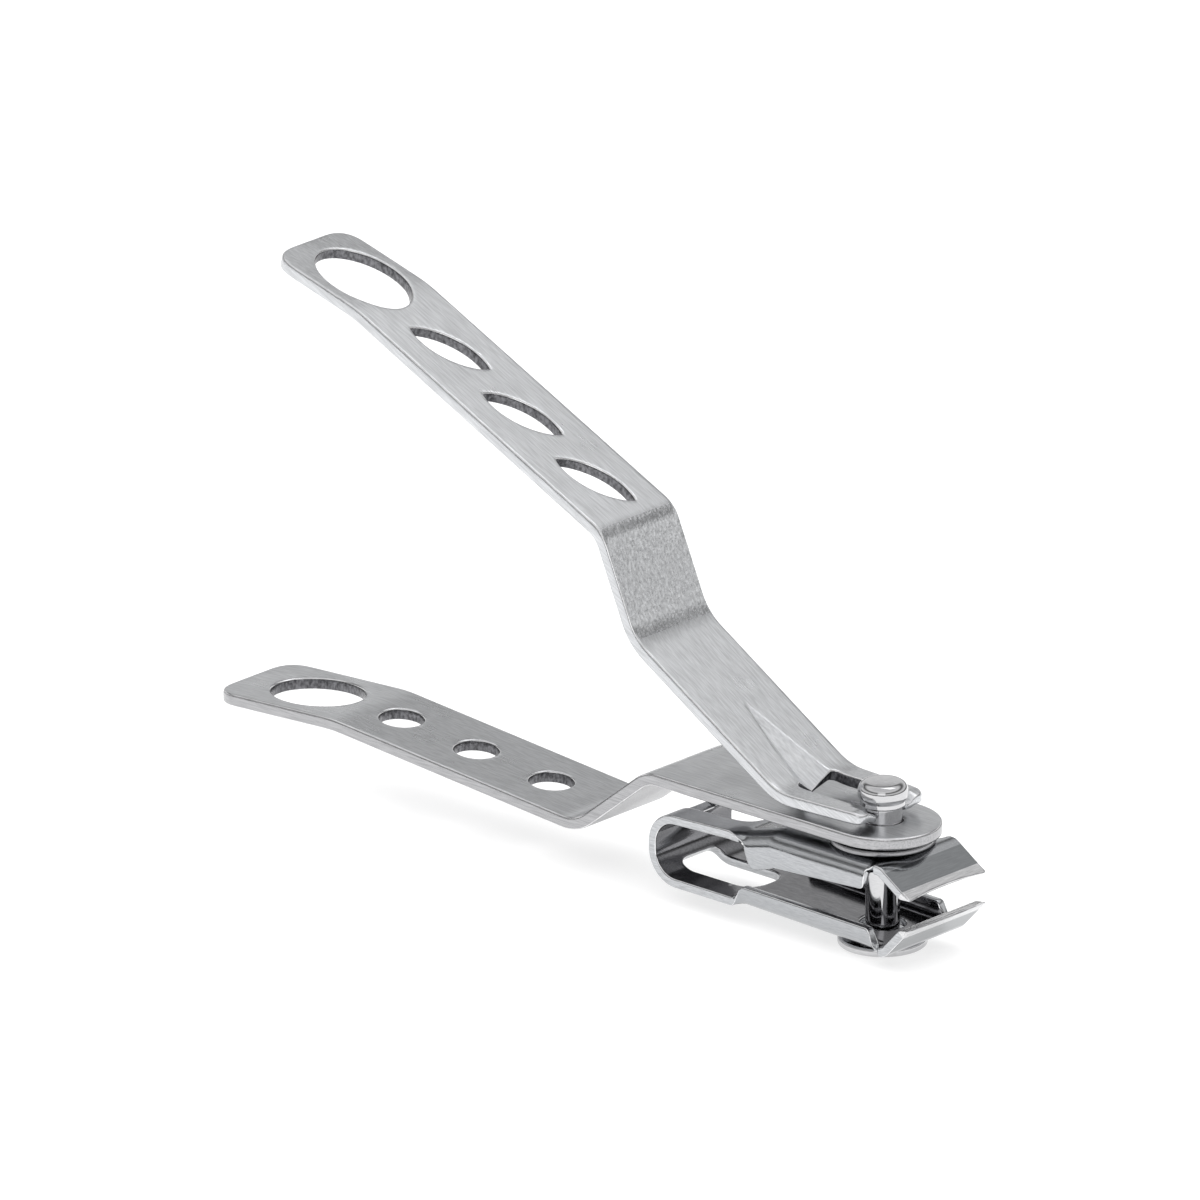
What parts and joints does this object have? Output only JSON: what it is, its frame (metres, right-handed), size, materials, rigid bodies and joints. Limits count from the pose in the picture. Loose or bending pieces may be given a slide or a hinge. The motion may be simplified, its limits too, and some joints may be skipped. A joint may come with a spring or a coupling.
{
  "type": "nail clipper",
  "caption": "Nail clipper with two cranked perforated handles, a turning U-spring jaw head and a pin that the lever pulls up.",
  "frame": {"origin": "centre of the flat underside of the rivet disc, on the pin's axis", "axes": "+Z along the pin towards the lever, +X towards the cutting edges, +Y across the handles"},
  "size_m": [0.1075, 0.0132, 0.0639],
  "materials": {
    "satin_steel": "satin, brushed along the strip",
    "brushed_steel": "satin, with a coarser grain on the crank",
    "polished_spring_steel": "polished",
    "polished_steel": "polished",
    "washer_steel": "smooth, dull"
  },
  "bodies": {
    "handle": {"lower_handle": "satin_steel", "swivel_washer": "washer_steel"},
    "pin": {"post_pin": "polished_steel", "rivet_disc": "polished_steel"},
    "lever": {"upper_lever": "brushed_steel"},
    "head_upper": {"upper_jaw": "polished_spring_steel"},
    "head_lower": {"lower_jaw": "polished_spring_steel"}
  },
  "joints": [
    {"name": "post_lift", "type": "slide", "parent": "handle", "child": "pin", "axis": [0, 0, 1], "range_m": [0, 0.0025]},
    {"name": "lever_press", "type": "hinge", "parent": "pin", "child": "lever", "pos_m": [0, 0, 0.01595], "axis": [0, -1, 0], "range_deg": [0, 13.5], "stiffness_Nm_per_rad": 0.6, "springref_deg": -14.32},
    {"name": "head_swivel", "type": "hinge", "parent": "handle", "child": "head_upper", "pos_m": [0, 0, 0.0105], "axis": [0, 0, 1], "continuous": true},
    {"name": "jaw_close", "type": "hinge", "parent": "head_upper", "child": "head_lower", "pos_m": [-0.02945, 0, 0.0061], "axis": [0, -1, 0], "range_deg": [0, 5]}
  ],
  "couplings": [
    {"joint": "post_lift", "follows": "lever_press", "m_per_rad": 0.0103},
    {"joint": "jaw_close", "follows": "lever_press", "ratio": 0.352}
  ]
}
